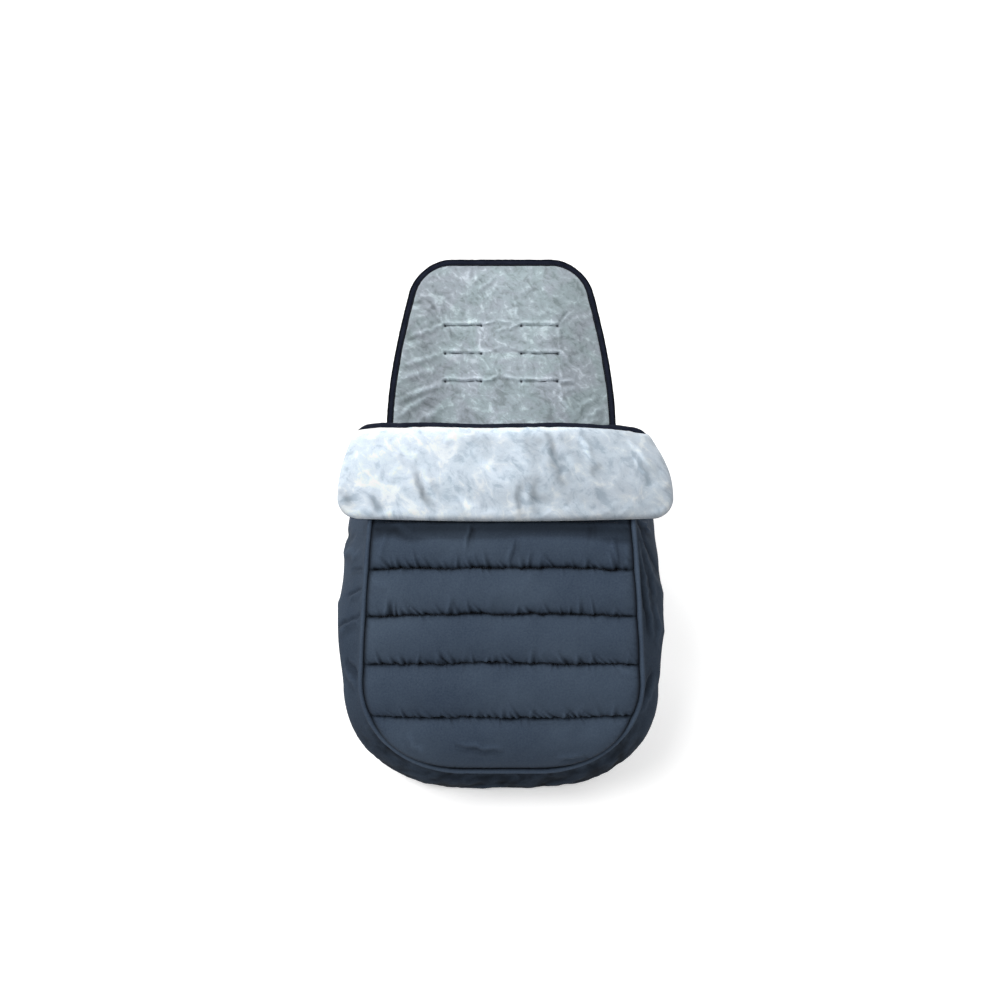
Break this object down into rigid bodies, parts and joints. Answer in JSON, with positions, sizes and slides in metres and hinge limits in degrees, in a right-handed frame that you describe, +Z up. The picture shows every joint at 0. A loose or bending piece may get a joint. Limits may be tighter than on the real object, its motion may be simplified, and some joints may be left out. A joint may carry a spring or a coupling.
{
  "type": "stroller sleeping bag",
  "caption": "Padded stroller sleeping bag with a plush back pad, a quilted zip-off apron and a turned-over plush cuff, bent to a seat.",
  "frame": {"origin": "middle of the seat panel's underside, where it rests on a stroller's seat", "axes": "+Z up from the seat, -Y towards the toes, +X to the right seen from the toes"},
  "size_m": [0.4698, 0.7283, 0.5133],
  "materials": {
    "binding_tape": "woven polyester tape, matte",
    "piping_cord_cotton": "twisted cotton cord",
    "plush_grey": "short-pile plush, soft sheen",
    "plush_light_grey": "short-pile plush, soft sheen",
    "polyester_wadding": "lofty polyester wadding",
    "shell_fabric": "quilted water-resistant polyester, semi-matte",
    "slider_black_metal": "black painted die-cast metal",
    "slot_thread": "close satin stitching",
    "zip_coil_nylon": "moulded nylon coil",
    "zip_tape_woven": "woven zip tape, matte"
  },
  "bodies": {
    "pad_and_gusset": {"back_edge_binding": "binding_tape", "back_outer_shell": "shell_fabric", "back_plush_lining": "plush_grey", "backrest_wadding": "polyester_wadding", "crotch_slot_stitching": "slot_thread", "gusset_outer_shell": "shell_fabric", "gusset_plush_lining": "plush_grey", "gusset_top_binding_left": "binding_tape", "gusset_top_binding_right": "binding_tape", "gusset_wadding": "polyester_wadding", "harness_slot_stitching_left_1": "slot_thread", "harness_slot_stitching_left_2": "slot_thread", "harness_slot_stitching_left_3": "slot_thread", "harness_slot_stitching_right_1": "slot_thread", "harness_slot_stitching_right_2": "slot_thread", "harness_slot_stitching_right_3": "slot_thread", "leg_wadding": "polyester_wadding", "seat_wadding": "polyester_wadding", "waist_slot_stitching_left": "slot_thread", "waist_slot_stitching_right": "slot_thread", "zip_coil_gusset": "zip_coil_nylon", "zip_stop_gusset_left": "slider_black_metal", "zip_stop_gusset_right": "slider_black_metal", "zip_tape_gusset": "zip_tape_woven"},
    "apron": {"apron_outer_shell": "shell_fabric", "apron_piping_cord": "piping_cord_cotton", "apron_piping_cover": "shell_fabric", "apron_plush_lining": "plush_grey", "apron_top_binding": "binding_tape", "apron_wadding": "polyester_wadding", "zip_coil_apron": "zip_coil_nylon", "zip_stop_apron_left": "slider_black_metal", "zip_stop_apron_right": "slider_black_metal", "zip_tape_apron": "zip_tape_woven"},
    "cuff": {"cuff_backing": "shell_fabric", "cuff_plush_face": "plush_light_grey", "cuff_wadding": "polyester_wadding"},
    "slider_left": {"slider_left": "slider_black_metal"},
    "slider_right": {"slider_right": "slider_black_metal"},
    "pull_tab_left": {"pull_tab_left": "slider_black_metal"},
    "pull_tab_right": {"pull_tab_right": "slider_black_metal"}
  },
  "joints": [
    {"name": "apron_fold_down", "type": "hinge", "parent": "pad_and_gusset", "child": "apron", "pos_m": [0, -0.26921, -0.08969], "axis": [1, 0, 0], "range_deg": [0, 120]},
    {"name": "cuff_fold", "type": "hinge", "parent": "apron", "child": "cuff", "pos_m": [0, 0.03477, 0.27191], "axis": [-1, 0, 0], "range_deg": [0, 170]},
    {"name": "slider_left_travel", "type": "hinge", "parent": "pad_and_gusset", "child": "slider_left", "pos_m": [-0.187, 0.20112, -0.20101], "axis": [0.9984, -0.0373, -0.0417], "range_deg": [0, 37]},
    {"name": "pull_tab_left_swing", "type": "hinge", "parent": "slider_left", "child": "pull_tab_left", "pos_m": [-0.17859, 0.02711, 0.25004], "axis": [-0.0254, 0.3602, -0.9325], "range_deg": [0, 150]},
    {"name": "slider_right_travel", "type": "hinge", "parent": "pad_and_gusset", "child": "slider_right", "pos_m": [0.187, 0.20112, -0.20101], "axis": [0.9984, 0.0373, 0.0417], "range_deg": [0, 37]},
    {"name": "pull_tab_right_swing", "type": "hinge", "parent": "slider_right", "child": "pull_tab_right", "pos_m": [0.17859, 0.02711, 0.25004], "axis": [-0.0254, -0.3602, 0.9325], "range_deg": [0, 150]}
  ]
}
